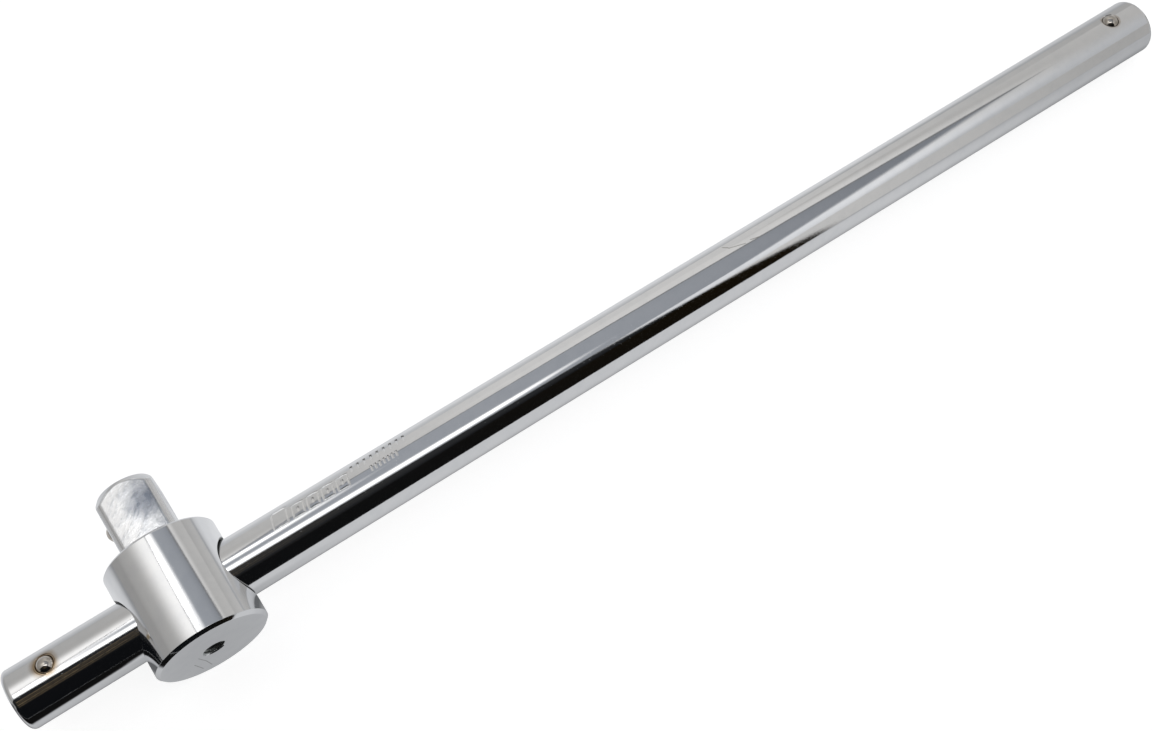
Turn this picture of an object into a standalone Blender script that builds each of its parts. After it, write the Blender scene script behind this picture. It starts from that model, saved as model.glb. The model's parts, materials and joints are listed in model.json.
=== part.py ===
"""Sliding T-handle: a round bar that slides through a cylindrical head with a 3/4 inch square drive.

The bar lies along X and the head's axis lies along Y, so the drive points to +Y and +Z is up.
The origin is the centre of the drive's end face. Lengths are in metres.
"""
import math

import bmesh
import bpy
from mathutils import Matrix, Vector

MM = 0.001

# Bar
BAR_DIAMETER = 20.0 * MM
BAR_LENGTH = 450.0 * MM
BAR_SHORT_SIDE = 56.4 * MM
BAR_END_ROUNDING = 2.0 * MM
STOP_BALL_TURN = math.radians(14.5)
STOP_BALL_FROM_END = 13.4 * MM

# Head
HEAD_DIAMETER = 37.2 * MM
HEAD_LENGTH = 36.2 * MM
HEAD_BASE_CHAMFER = 1.1 * MM
HEAD_SHOULDER_CHAMFER = 0.8 * MM
BORE_CLEARANCE = 0.3 * MM
BORE_MOUTH_ROUNDING = 1.0 * MM

# Square drive
DRIVE_SQUARE = 19.05 * MM
DRIVE_LENGTH = 23.8 * MM
DRIVE_CORNER_CUT = 1.22 * MM
DRIVE_NECK = 0.8 * MM
DRIVE_TIP_HEIGHT = 4.3 * MM
DRIVE_TIP_DEPTH = 3.35 * MM
DRIVE_BALL_FROM_TIP = 11.0 * MM

# Balls and springs
STOP_BALL_DIAMETER = 6.0 * MM
STOP_BALL_PROUD = 1.35 * MM
DRIVE_BALL_DIAMETER = 6.5 * MM
DRIVE_BALL_PROUD = 1.6 * MM
FRICTION_BALL_DIAMETER = 6.35 * MM
BALL_CLEARANCE = 0.2 * MM
SPRING_WIRE = 0.7 * MM
SPRING_LENGTH = 5.0 * MM
SPRING_TURNS = 4.0
STAKE_WIDTH = 0.5 * MM
STAKE_DEPTH = 0.25 * MM

# Hole in the base and the set screw that closes it
BASE_HOLE_DIAMETER = 7.0 * MM
SCREW_RECESS = 1.5 * MM
SCREW_TO_BORE = 1.3 * MM
SCREW_CHAMFER = 0.6 * MM
SOCKET_FLATS = 4.0 * MM
SOCKET_FLOOR = 2.4 * MM

GAP = 0.3 * MM
CUT_PAST = 3.0 * MM
MOUTH_OVERCUT = 0.02 * MM
DRILL_POINT = math.radians(118.0)

# Facets
ROUND = 96
SMALL_ROUND = 48
BALL_RINGS = 12
ARC_STEPS = 5
SPRING_STEPS = 14
SPRING_SIDES = 6

# Worked out from the sizes above
BAR_RADIUS = BAR_DIAMETER / 2
HEAD_RADIUS = HEAD_DIAMETER / 2
BORE_RADIUS = BAR_RADIUS + BORE_CLEARANCE
DRIVE_HALF = DRIVE_SQUARE / 2
DRIVE_CORNER_RADIUS = DRIVE_HALF * math.sqrt(2) - DRIVE_CORNER_CUT
HEAD_CENTRE = Vector((0, -DRIVE_LENGTH - HEAD_LENGTH / 2, 0))
SCREW_LENGTH = HEAD_LENGTH / 2 - SCREW_RECESS - BORE_RADIUS - SCREW_TO_BORE
SHORT_BALL_X = -BAR_SHORT_SIDE + STOP_BALL_FROM_END
LONG_BALL_X = BAR_LENGTH - BAR_SHORT_SIDE - STOP_BALL_FROM_END


def clear_scene():
    """Remove every object the file holds."""
    for thing in list(bpy.data.objects):
        bpy.data.objects.remove(thing, do_unlink=True)


def metal(name, colour, roughness):
    """A bare metal: one colour, one roughness."""
    made = bpy.data.materials.new(name)
    made.use_nodes = True
    shader = made.node_tree.nodes["Principled BSDF"]
    shader.inputs["Base Color"].default_value = (*colour, 1)
    shader.inputs["Roughness"].default_value = roughness
    shader.inputs["Metallic"].default_value = 1.0
    return made


def facing(direction):
    """The turn that brings local +Z to direction."""
    return Vector((0, 0, 1)).rotation_difference(Vector(direction)).to_euler()


def new_object(name, mesh, place, direction, material=None):
    """An object with its origin at place and its local +Z along direction."""
    mesh.shade_smooth()
    mesh.set_sharp_from_angle(angle=math.radians(30))
    made = bpy.data.objects.new(name, mesh)
    bpy.context.collection.objects.link(made)
    made.location = place
    made.rotation_euler = facing(direction)
    if material:
        mesh.materials.append(material)
    return made


def mesh_from_rings(name, rings, closed_ring=False):
    """A closed mesh through rings of points; a ring of one point is a pole."""
    bm = bmesh.new()
    loops = [[bm.verts.new(point) for point in ring] for ring in rings]
    pairs = list(zip(loops, loops[1:]))
    if closed_ring:
        pairs.append((loops[-1], loops[0]))
    for low, high in pairs:
        count = max(len(low), len(high))
        for i in range(count):
            j = (i + 1) % count
            corners = [low[i % len(low)], low[j % len(low)], high[j % len(high)], high[i % len(high)]]
            bm.faces.new(list(dict.fromkeys(corners)))
    if not closed_ring:
        for loop in (loops[0], loops[-1]):
            if len(loop) > 1:
                bm.faces.new(loop)
    bmesh.ops.recalc_face_normals(bm, faces=bm.faces)
    mesh = bpy.data.meshes.new(name)
    bm.to_mesh(mesh)
    bm.free()
    return mesh


def turned_mesh(name, profile, sides):
    """A closed body turned about local Z through (radius, height) points."""
    rings = []
    for radius, height in profile:
        if radius < 1e-7:
            rings.append([(0, 0, height)])
            continue
        angles = (math.tau * i / sides for i in range(sides))
        rings.append([(radius * math.cos(a), radius * math.sin(a), height) for a in angles])
    return mesh_from_rings(name, rings)


def arc(centre, radius, start, end, steps):
    """Points of a round stretch of a profile, from the start angle to the end angle."""
    angles = (start + (end - start) * i / steps for i in range(steps + 1))
    return [(centre[0] + radius * math.cos(a), centre[1] + radius * math.sin(a)) for a in angles]


def cutter(name, mesh, place, direction):
    """A hidden object that only cuts others."""
    made = new_object(name, mesh, place, direction)
    made.hide_render = True
    made.display_type = "WIRE"
    return made


def cut(target, tool):
    """Take tool's shape out of target."""
    step = target.modifiers.new("cut " + tool.name, "BOOLEAN")
    step.operation = "DIFFERENCE"
    step.solver = "EXACT"
    step.object = tool


def ball(name, diameter, place, direction, material):
    """A steel ball with its origin at its centre."""
    half = diameter / 2
    profile = arc((0, 0), half, -math.pi / 2, math.pi / 2, BALL_RINGS)
    return new_object(name, turned_mesh(name, profile, 2 * BALL_RINGS), place, direction, material)


def spring(name, outside, place, direction, material):
    """A coil spring that starts at place, its fixed end, and runs along direction."""
    wire = SPRING_WIRE / 2
    radius = outside / 2 - wire
    rise = SPRING_LENGTH - SPRING_WIRE
    pitch_angle = math.atan2(rise, math.tau * radius * SPRING_TURNS)
    steps = int(SPRING_STEPS * SPRING_TURNS)
    rings = []
    for i in range(steps + 1):
        turn = math.tau * SPRING_TURNS * i / steps
        outward = Vector((math.cos(turn), math.sin(turn), 0))
        centre = outward * radius + Vector((0, 0, wire + rise * i / steps))
        around = Vector((-math.sin(turn), math.cos(turn), 0))
        across = Vector((0, 0, math.cos(pitch_angle))) - around * math.sin(pitch_angle)
        angles = (math.tau * k / SPRING_SIDES for k in range(SPRING_SIDES))
        rings.append([centre + wire * (outward * math.cos(a) + across * math.sin(a)) for a in angles])
    return new_object(name, mesh_from_rings(name, rings), place, direction, material)


def coil_diameter(ball_diameter):
    """Outside of the spring behind a ball: narrower than its pocket, so that it slides."""
    return ball_diameter - SPRING_WIRE


def fixed_end_depth(ball_diameter):
    """From a ball's centre to the fixed end of its spring, whose last turn cups the ball with a gap."""
    wire = SPRING_WIRE / 2
    coil_radius = coil_diameter(ball_diameter) / 2 - wire
    reach = ball_diameter / 2 + GAP + wire
    return math.sqrt(reach**2 - coil_radius**2) - wire + SPRING_LENGTH


def ball_pocket(name, diameter, proud, place, direction):
    """Cutter for a blind ball pocket whose mouth, at place, is staked narrower than the ball.

    Local +Z points out of the mouth. The wall keeps BALL_CLEARANCE from the ball all round.
    """
    wall = diameter / 2 + BALL_CLEARANCE
    centre = proud - diameter / 2
    mouth = math.sqrt(wall**2 - centre**2)
    bottom = centre - fixed_end_depth(diameter) - GAP
    point = bottom - wall / math.tan(DRILL_POINT / 2)
    lip_angle = math.atan2(-centre - STAKE_DEPTH, mouth)
    profile = [(0, point), (wall, bottom)]
    profile += arc((0, centre), wall, 0, lip_angle, ARC_STEPS)
    profile += [(mouth + STAKE_WIDTH, 0), (mouth + STAKE_WIDTH, CUT_PAST), (0, CUT_PAST)]
    return cutter(name, turned_mesh(name, profile, SMALL_ROUND), place, direction)


def sprung_ball(name, diameter, proud, surface, direction, materials):
    """A ball in its pocket, its spring, and the pocket's cutter; direction points outward."""
    direction = Vector(direction)
    hole = ball_pocket(name + "_pocket", diameter, proud, surface, direction)
    centre = surface + direction * (proud - diameter / 2)
    ball(name + "_ball", diameter, centre, direction, materials["ball"])
    fixed_end = centre - direction * fixed_end_depth(diameter)
    spring(name + "_spring", coil_diameter(diameter), fixed_end, direction, materials["spring"])
    return hole


def sliding_bar(materials):
    """The round bar, with a stop ball near each end."""
    name = "sliding_bar"
    start = -BAR_SHORT_SIDE
    end = start + BAR_LENGTH
    inset = BAR_RADIUS - BAR_END_ROUNDING
    profile = [(0, start)]
    profile += arc((inset, start + BAR_END_ROUNDING), BAR_END_ROUNDING, -math.pi / 2, 0, ARC_STEPS)
    profile += arc((inset, end - BAR_END_ROUNDING), BAR_END_ROUNDING, 0, math.pi / 2, ARC_STEPS)
    profile.append((0, end))
    axis_point = Vector((0, HEAD_CENTRE.y, 0))
    bar = new_object(name, turned_mesh(name, profile, ROUND), axis_point, (1, 0, 0), materials["bar"])
    outward = Vector((0, math.sin(STOP_BALL_TURN), math.cos(STOP_BALL_TURN)))
    for end_name, x in (("short_end", SHORT_BALL_X), ("long_end", LONG_BALL_X)):
        surface = axis_point + Vector((x, 0, 0)) + outward * BAR_RADIUS
        hole = sprung_ball(end_name, STOP_BALL_DIAMETER, STOP_BALL_PROUD, surface, outward, materials)
        cut(bar, hole)
    return bar


def flats_cutter():
    """A square frame that leaves the drive's four flats when it is taken off the turned blank."""
    name = "drive_flats"
    low = HEAD_LENGTH / 2 + DRIVE_NECK
    high = HEAD_LENGTH / 2 + DRIVE_LENGTH + CUT_PAST
    rings = []
    for half, height in ((DRIVE_HALF, low), (HEAD_RADIUS, low), (HEAD_RADIUS, high), (DRIVE_HALF, high)):
        rings.append([(x * half, y * half, height) for x, y in ((1, 1), (-1, 1), (-1, -1), (1, -1))])
    return cutter(name, mesh_from_rings(name, rings, closed_ring=True), HEAD_CENTRE, (0, 1, 0))


def cross_bore():
    """The bar's bore, with a mouth rounded over where it leaves the head's round side."""
    name = "cross_bore"
    mouth = BORE_RADIUS + BORE_MOUTH_ROUNDING
    turns = [math.tau * i / ROUND for i in range(ROUND)]
    half = []
    for k in range(ARC_STEPS + 1):
        u = math.pi / 2 * k / ARC_STEPS
        radius = mouth - BORE_MOUTH_ROUNDING * math.cos(u)
        inward = BORE_MOUTH_ROUNDING * (1 - math.sin(u)) - MOUTH_OVERCUT
        edges = [math.sqrt(HEAD_RADIUS**2 - (mouth * math.cos(t))**2) - inward for t in turns]
        half.append([(x, radius * math.sin(t), radius * math.cos(t)) for x, t in zip(edges, turns)])
    past = HEAD_RADIUS + CUT_PAST
    half.append([(past, mouth * math.sin(t), mouth * math.cos(t)) for t in turns])
    other_half = [[(-x, y, z) for x, y, z in ring] for ring in reversed(half)]
    return cutter(name, mesh_from_rings(name, other_half + half), HEAD_CENTRE, (0, 0, 1))


def friction_places():
    """Along +Y from the head's centre: the friction ball's centre, then its spring's fixed end."""
    ball_centre = BAR_RADIUS + GAP + FRICTION_BALL_DIAMETER / 2
    return ball_centre, ball_centre + fixed_end_depth(FRICTION_BALL_DIAMETER)


def base_drilling():
    """One drilling from the base, across the bore, into the pocket of the friction ball."""
    name = "base_drilling"
    depth = friction_places()[1] + GAP
    tap = BASE_HOLE_DIAMETER / 2
    pocket = FRICTION_BALL_DIAMETER / 2 + BALL_CLEARANCE
    profile = [(0, -HEAD_LENGTH / 2 - CUT_PAST), (tap, -HEAD_LENGTH / 2 - CUT_PAST), (tap, 0)]
    profile += [(pocket, 0), (pocket, depth), (0, depth + pocket / math.tan(DRILL_POINT / 2))]
    return cutter(name, turned_mesh(name, profile, SMALL_ROUND), HEAD_CENTRE, (0, 1, 0))


def drive_head(materials):
    """The head: a turned blank with milled drive flats, a cross bore, a drilling and a ball pocket."""
    name = "drive_head"
    base = -HEAD_LENGTH / 2
    shoulder = HEAD_LENGTH / 2
    tip = shoulder + DRIVE_LENGTH
    corner = DRIVE_CORNER_RADIUS
    profile = [
        (0, base),
        (HEAD_RADIUS - HEAD_BASE_CHAMFER, base),
        (HEAD_RADIUS, base + HEAD_BASE_CHAMFER),
        (HEAD_RADIUS, shoulder - HEAD_SHOULDER_CHAMFER),
        (HEAD_RADIUS - HEAD_SHOULDER_CHAMFER, shoulder),
        (corner + DRIVE_NECK, shoulder),
        (corner, shoulder + DRIVE_NECK),
        (corner, tip - DRIVE_TIP_HEIGHT),
        (corner - DRIVE_TIP_DEPTH, tip),
        (0, tip),
    ]
    head = new_object(name, turned_mesh(name, profile, ROUND), HEAD_CENTRE, (0, 1, 0), materials["head"])
    cut(head, flats_cutter())
    cut(head, cross_bore())
    cut(head, base_drilling())
    surface = Vector((-DRIVE_HALF, -DRIVE_BALL_FROM_TIP, 0))
    pocket = sprung_ball("drive", DRIVE_BALL_DIAMETER, DRIVE_BALL_PROUD, surface, (-1, 0, 0), materials)
    cut(head, pocket)
    return head


def friction_detent(materials):
    """The ball and spring inside the head that press on the bar and hold the head where it is put."""
    centre, spring_end = friction_places()
    toward_bar = (0, -1, 0)
    place = HEAD_CENTRE + Vector((0, centre, 0))
    ball("friction_ball", FRICTION_BALL_DIAMETER, place, toward_bar, materials["ball"])
    fixed_end = HEAD_CENTRE + Vector((0, spring_end, 0))
    outside = coil_diameter(FRICTION_BALL_DIAMETER)
    spring("friction_spring", outside, fixed_end, toward_bar, materials["spring"])


def base_set_screw(materials):
    """The socket set screw that closes the hole in the base, below the base face."""
    name = "base_set_screw"
    radius = BASE_HOLE_DIAMETER / 2 - BALL_CLEARANCE
    mouth = Vector((0, HEAD_CENTRE.y - HEAD_LENGTH / 2 + SCREW_RECESS, 0))
    profile = [
        (0, -SCREW_LENGTH),
        (radius - SCREW_CHAMFER, -SCREW_LENGTH),
        (radius, -SCREW_LENGTH + SCREW_CHAMFER),
        (radius, -SCREW_CHAMFER / 2),
        (radius - SCREW_CHAMFER / 2, 0),
        (0, 0),
    ]
    outward = (0, -1, 0)
    screw = new_object(name, turned_mesh(name, profile, SMALL_ROUND), mouth, outward, materials["screw"])
    across = SOCKET_FLATS / math.sqrt(3)
    depth = SCREW_LENGTH - SOCKET_FLOOR
    socket = [(0, -depth - across / 3), (across, -depth), (across, CUT_PAST), (0, CUT_PAST)]
    cut(screw, cutter("hex_socket", turned_mesh("hex_socket", socket, 6), mouth, outward))
    return screw


def main():
    clear_scene()
    materials = {
        "bar": metal("bar_chrome", (0.72, 0.73, 0.74), 0.06),
        "head": metal("head_chrome", (0.70, 0.71, 0.73), 0.10),
        "ball": metal("ball_steel", (0.62, 0.60, 0.58), 0.15),
        "spring": metal("spring_steel", (0.45, 0.44, 0.43), 0.35),
        "screw": metal("screw_steel", (0.08, 0.08, 0.08), 0.45),
    }
    sliding_bar(materials)
    drive_head(materials)
    friction_detent(materials)
    base_set_screw(materials)


main()
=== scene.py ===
# %% [markdown]
# # A sliding T-handle in bright chrome
# The tool is a round steel bar that slides through a cylindrical head. The head ends in a square
# drive that takes sockets. Everything on it is turned, milled or drilled, then polished and chrome
# plated, so the work here is clean edges, true round surfaces and something worth reflecting.
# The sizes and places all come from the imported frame, which this first cell loads.

# %% Load the frame
import json
import math

import bmesh
import bpy
import numpy as np
from mathutils import Matrix, Vector


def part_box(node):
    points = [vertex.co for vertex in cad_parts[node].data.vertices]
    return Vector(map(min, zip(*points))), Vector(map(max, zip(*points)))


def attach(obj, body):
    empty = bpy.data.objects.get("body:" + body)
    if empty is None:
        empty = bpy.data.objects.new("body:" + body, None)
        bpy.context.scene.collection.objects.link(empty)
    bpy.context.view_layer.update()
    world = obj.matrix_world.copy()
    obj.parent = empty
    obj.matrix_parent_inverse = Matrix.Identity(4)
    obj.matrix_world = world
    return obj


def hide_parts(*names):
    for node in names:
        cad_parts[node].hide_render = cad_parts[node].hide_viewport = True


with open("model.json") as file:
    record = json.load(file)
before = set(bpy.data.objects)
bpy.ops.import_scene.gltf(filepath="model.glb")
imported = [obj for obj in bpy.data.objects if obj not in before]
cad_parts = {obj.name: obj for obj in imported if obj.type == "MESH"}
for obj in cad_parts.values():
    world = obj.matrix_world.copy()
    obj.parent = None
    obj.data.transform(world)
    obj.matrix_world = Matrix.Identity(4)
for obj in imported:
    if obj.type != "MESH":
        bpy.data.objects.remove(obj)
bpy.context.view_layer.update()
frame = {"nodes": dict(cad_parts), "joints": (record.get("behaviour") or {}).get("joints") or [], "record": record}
MM = 0.001
print("nodes:", sorted(frame["nodes"]))

# %% [markdown]
# ## Sizes read from the frame
# A designer would keep the driving sizes in one place. Here they are measured on the CAD nodes:
# the bar's box gives its axis and radius, and the head's box gives its radius, base and tip.

# %% Measure the pieces
bar_low, bar_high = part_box("sliding_bar")
head_low, head_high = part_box("drive_head")
bar_radius = (bar_high.y - bar_low.y) / 2
head_radius = (head_high.x - head_low.x) / 2
bar_axis = Vector((0, (bar_low.y + bar_high.y) / 2, 0))
tip_y = head_high.y
base_y = head_low.y
shoulder_y = 2 * bar_axis.y - base_y
mounts = {m["name"]: m for m in frame["record"]["mounts"]}
drive_half = mounts["drive_flat_up"]["pos_m"][2]
floor_z = head_low.z


def centre_of(node):
    """Middle of a CAD node's box."""
    low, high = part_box(node)
    return (low + high) / 2


def width_of(node):
    """Largest side of a CAD node's box."""
    low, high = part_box(node)
    return max(high - low)


def joint_axis(name):
    """Direction in which a slide joint moves its child."""
    return Vector(next(j["axis"] for j in frame["joints"] if j["name"] == name))


print(f"bar {bar_radius / MM:.1f} mm radius, head {head_radius / MM:.1f} mm radius, "
      f"drive {2 * drive_half / MM:.2f} mm square")

# %% [markdown]
# ## Camera
# The tool lies on a bench and is seen from above, over its base, with the drive pointing away.
# The camera's place and turn are given as a position and two directions, which reads better than
# three Euler angles, and a matrix built from them is exact.

# %% Camera
CAMERA_FROM_BAR_AXIS = Vector((29.6, -151.6, 433.2)) * MM
CAMERA_FORWARD = Vector((0.24083, 0.31882, -0.91671))
CAMERA_UP = Vector((0.50406, 0.76605, 0.39885))
CAMERA_LENS_MM = 44.69


def camera_matrix(place, forward, up):
    """World matrix of a camera at place that looks along forward."""
    back = -forward.normalized()
    right = up.cross(back).normalized()
    turn = Matrix((right, back.cross(right), back)).transposed()
    return Matrix.Translation(place) @ turn.to_4x4()


camera_data = bpy.data.cameras.new("camera")
camera_data.lens = CAMERA_LENS_MM
camera_data.clip_start = 0.01
camera = bpy.data.objects.new("camera", camera_data)
bpy.context.collection.objects.link(camera)
camera.matrix_world = camera_matrix(bar_axis + CAMERA_FROM_BAR_AXIS, CAMERA_FORWARD, CAMERA_UP)
bpy.context.scene.camera = camera
bpy.context.scene.view_settings.view_transform = "Standard"
print("camera at", [round(v, 3) for v in camera.location])

# %% [markdown]
# ## Mesh helpers
# Turned parts are rings of points joined by quads. A closed body is rings with a pole at each end.
# Numpy lays the points out, because some of these bodies have tens of thousands of them.

# %% Rings and profiles


def mesh_from_rings(name, rings):
    """Closed mesh through an (n, sides, 3) array of rings, with a pole in each end."""
    rings = np.asarray(rings)
    count, sides = rings.shape[:2]
    poles = [rings[0].mean(0), rings[-1].mean(0)]
    points = np.vstack([rings.reshape(-1, 3), poles])
    first, last = count * sides, count * sides + 1
    i = np.arange(sides)
    j = (i + 1) % sides
    faces = []
    for k in range(count - 1):
        low, high = k * sides, (k + 1) * sides
        faces += np.stack([low + i, low + j, high + j, high + i], 1).tolist()
    faces += [(first, b, a) for a, b in zip(i.tolist(), j.tolist())]
    top = (count - 1) * sides
    faces += [(last, top + a, top + b) for a, b in zip(i.tolist(), j.tolist())]
    mesh = bpy.data.meshes.new(name)
    mesh.from_pydata(points.tolist(), [], faces)
    return outward_facing(mesh)


def outward_facing(mesh):
    """Point every face of a closed mesh outwards."""
    bm = bmesh.new()
    bm.from_mesh(mesh)
    bmesh.ops.remove_doubles(bm, verts=bm.verts, dist=1e-7)
    bmesh.ops.recalc_face_normals(bm, faces=bm.faces)
    bm.to_mesh(mesh)
    bm.free()
    return mesh


def circle(sides, start=0.0):
    """Unit circle as an (sides, 2) array."""
    turns = start + np.arange(sides) * math.tau / sides
    return np.stack([np.cos(turns), np.sin(turns)], 1)


def arc(centre, radius, start, end, steps):
    """Points of a round stretch of a profile, angles in degrees."""
    turns = np.radians(np.linspace(start, end, steps + 1))
    return [(centre[0] + radius * math.cos(a), centre[1] + radius * math.sin(a)) for a in turns]


def turned(name, profile, sides):
    """Closed body turned about local Z through (radius, height) points."""
    around = circle(sides)
    rings = [np.column_stack([around * max(r, 1e-9), np.full(sides, h)]) for r, h in profile]
    return mesh_from_rings(name, rings)


# %% [markdown]
# Each body is made along its own Z axis and then laid where it belongs. Holes are cut with exact
# booleans, which keep their edges crisp, and the result is made a plain mesh straight away.

# %% Place and cut


def placed(mesh, place, direction):
    """Move a mesh so that its local +Z points along direction and its origin is at place."""
    turn = Vector((0, 0, 1)).rotation_difference(Vector(direction)).to_matrix().to_4x4()
    mesh.transform(Matrix.Translation(place) @ turn)
    return mesh


def on_head_axis(mesh, y=0.0):
    """Lay a body made along +Z on the head's axis, its origin at height y."""
    return placed(mesh, Vector((0, y, 0)), (0, 1, 0))


def new_piece(name, mesh):
    """Object at the origin whose place is in its mesh."""
    mesh.shade_smooth()
    piece = bpy.data.objects.new(name, mesh)
    bpy.context.collection.objects.link(piece)
    return piece


def cut_away(piece, cutters):
    """Take the cutter meshes out of a piece for good."""
    for mesh in cutters:
        tool = bpy.data.objects.new("cutter", mesh)
        bpy.context.collection.objects.link(tool)
        step = piece.modifiers.new("cut", "BOOLEAN")
        step.solver = "EXACT"
        step.object = tool
    evaluated = piece.evaluated_get(bpy.context.evaluated_depsgraph_get())
    result = bpy.data.meshes.new_from_object(evaluated)
    for step in list(piece.modifiers):
        tool = step.object
        piece.modifiers.remove(step)
        bpy.data.objects.remove(tool)
    piece.data = result
    print(piece.name, "after cutting:", len(result.polygons), "faces")
    return piece


def coat(piece, parts):
    """Give a piece one metal all over."""
    piece.data.materials.clear()
    piece.data.materials.append(parts["material"])


# %% [markdown]
# A mirror finish shows every facet. A ground cylinder has a normal that is known exactly, so the
# faces on it take that normal instead of an average of their neighbours.

# %% Exact normals
SHARP_EDGE = math.radians(24)
ON_SURFACE = 0.02 * MM
ON_CYLINDER_ALIGNED = 0.995
ON_FLAT_ALIGNED = 0.9999


def exact_normals(piece, cylinders, flats):
    """Give faces on true cylinders and true flats that surface's own normals.

    A cylinder is (point, axis, radius, +1 outside or -1 inside) and a flat is (point, normal).
    Other faces keep the normals that Blender works out.
    """
    mesh = piece.data
    mesh.set_sharp_from_angle(angle=SHARP_EDGE)
    points = np.empty(len(mesh.vertices) * 3)
    mesh.vertices.foreach_get("co", points)
    points = points.reshape(-1, 3)
    corners = np.empty(len(mesh.loops), dtype=np.int32)
    mesh.loops.foreach_get("vertex_index", corners)
    places = points[corners]
    normals = np.array([c.vector for c in mesh.corner_normals])
    counts = np.array([len(p.vertices) for p in mesh.polygons])
    owner = np.repeat(np.arange(len(counts)), counts)
    face_normals = np.array([p.normal for p in mesh.polygons])[owner]
    tried = []
    for point, axis, radius, side in cylinders:
        off = places - np.array(point)
        off -= np.outer(off @ np.array(axis), np.array(axis))
        reach = np.linalg.norm(off, axis=1)
        tried.append((side * off / np.maximum(reach, 1e-9)[:, None], np.abs(reach - radius),
                      ON_CYLINDER_ALIGNED))
    for point, normal in flats:
        off = np.abs((places - np.array(point)) @ np.array(normal))
        tried.append((np.tile(np.array(normal, float), (len(places), 1)), off, ON_FLAT_ALIGNED))
    found = 0
    for direction, distance, least in tried:
        aligned = np.einsum("ij,ij->i", direction, face_normals) > least
        misses = np.zeros(len(counts), bool)
        np.logical_or.at(misses, owner, ~(aligned & (distance < ON_SURFACE)))
        hit = ~misses[owner]
        normals[hit] = direction[hit]
        found += int((~misses).sum())
    mesh.normals_split_custom_set(normals.tolist())
    print(piece.name, "has", found, "faces with exact normals of", len(counts))


# %% [markdown]
# ## Chrome, steel and what wears them
# Chrome plate is a mirror with a slight blue-grey cast. What tells it from a perfect mirror is
# small: hair-fine polishing lines, tiny specks in the plate and a slow waviness that bends
# reflections. All metals here share those effects, so they are one shader node group, placed in
# each material with its own amounts. The group puts out a roughness, a tint mask and a normal.

# %% Node helpers


def socket(group, name, kind, way, default=None):
    """Add a named socket to a node group."""
    made = group.interface.new_socket(name=name, in_out=way, socket_type=kind)
    if default is not None:
        made.default_value = default
    return made


def fill(tree, node, values):
    """Set a node's inputs: a number or vector is set, a socket is linked."""
    for key, value in values.items():
        if isinstance(value, bpy.types.NodeSocket):
            tree.links.new(value, node.inputs[key])
        else:
            node.inputs[key].default_value = value
    return node


def add(tree, kind, values=None, **settings):
    """New node with its settings and inputs filled."""
    node = tree.nodes.new(kind)
    for key, value in settings.items():
        setattr(node, key, value)
    return fill(tree, node, values or {})


def maths(tree, operation, *values):
    """Output of a Math node."""
    return add(tree, "ShaderNodeMath", dict(enumerate(values)), operation=operation).outputs[0]


def times(tree, first, second):
    """Product of two values."""
    return maths(tree, "MULTIPLY", first, second)


def plus(tree, first, second):
    """Sum of two values."""
    return maths(tree, "ADD", first, second)


def minus(tree, first, second):
    """First value less the second."""
    return maths(tree, "SUBTRACT", first, second)


def between(tree, value, low, high):
    """1 where value lies between low and high, else 0."""
    above = maths(tree, "GREATER_THAN", value, low)
    return times(tree, above, maths(tree, "LESS_THAN", value, high))


def xyz(tree, vector):
    """The three parts of a vector."""
    parts = add(tree, "ShaderNodeSeparateXYZ", {0: vector}).outputs
    return parts["X"], parts["Y"], parts["Z"]


def noise(tree, vector, scale, detail, roughness=0.5):
    """Grey noise over a position."""
    inputs = {"Vector": vector, "Scale": scale, "Detail": detail, "Roughness": roughness}
    return add(tree, "ShaderNodeTexNoise", inputs).outputs["Fac"]


def remap(tree, value, low, high, to_low=0.0, to_high=1.0):
    """Smooth step from low..high to to_low..to_high."""
    inputs = {"Value": value, "From Min": low, "From Max": high, "To Min": to_low,
              "To Max": to_high}
    node = add(tree, "ShaderNodeMapRange", inputs, interpolation_type="SMOOTHSTEP")
    return node.outputs["Result"]


# %% [markdown]
# The group works on a position in millimetres, so its sizes can be judged against the real thing.
# Noise stretched along one direction gives the lines that a polishing belt leaves.

# %% Plated surface group
SPECK_ROUGHNESS = 0.05
SPECK_DEPTH_MM = 0.005


def plated_surface_group():
    """Polishing lines, plate specks and slow waviness, from a position in millimetres."""
    group = bpy.data.node_groups.new("plated_surface", "ShaderNodeTree")
    socket(group, "Position mm", "NodeSocketVector", "INPUT")
    socket(group, "Line Direction", "NodeSocketVector", "INPUT", (1.0, 14.0, 14.0))
    for name in ("Base Roughness", "Line Roughness", "Line Depth", "Wave Depth", "Wave Scale"):
        socket(group, name, "NodeSocketFloat", "INPUT", 0.05)
    for name, kind in (("Roughness", "Float"), ("Mottle", "Float"), ("Normal", "Vector")):
        socket(group, name, "NodeSocket" + kind, "OUTPUT")
    given = group.nodes.new("NodeGroupInput").outputs
    place = given["Position mm"]
    lengthwise = add(group, "ShaderNodeVectorMath", {0: place, 1: given["Line Direction"]},
                     operation="MULTIPLY").outputs[0]
    lines = noise(group, lengthwise, 0.55, 5.0, 0.75)
    specks = remap(group, noise(group, place, 2.4, 2.0), 0.70, 0.78)
    wave = noise(group, place, given["Wave Scale"], 1.0)
    extra = times(group, remap(group, lines, 0.52, 0.74), given["Line Roughness"])
    roughness = plus(group, given["Base Roughness"], extra)
    slow = times(group, wave, given["Wave Depth"])
    height = plus(group, times(group, lines, given["Line Depth"]), slow)
    total = plus(group, height, times(group, specks, -SPECK_DEPTH_MM))
    bump = add(group, "ShaderNodeBump", {"Height": total, "Strength": 1.0, "Distance": MM})
    fill(group, group.nodes.new("NodeGroupOutput"), {
        "Roughness": plus(group, roughness, times(group, specks, SPECK_ROUGHNESS)),
        "Mottle": noise(group, place, 0.22, 4.0, 0.6), "Normal": bump.outputs[0]})
    return group


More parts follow.
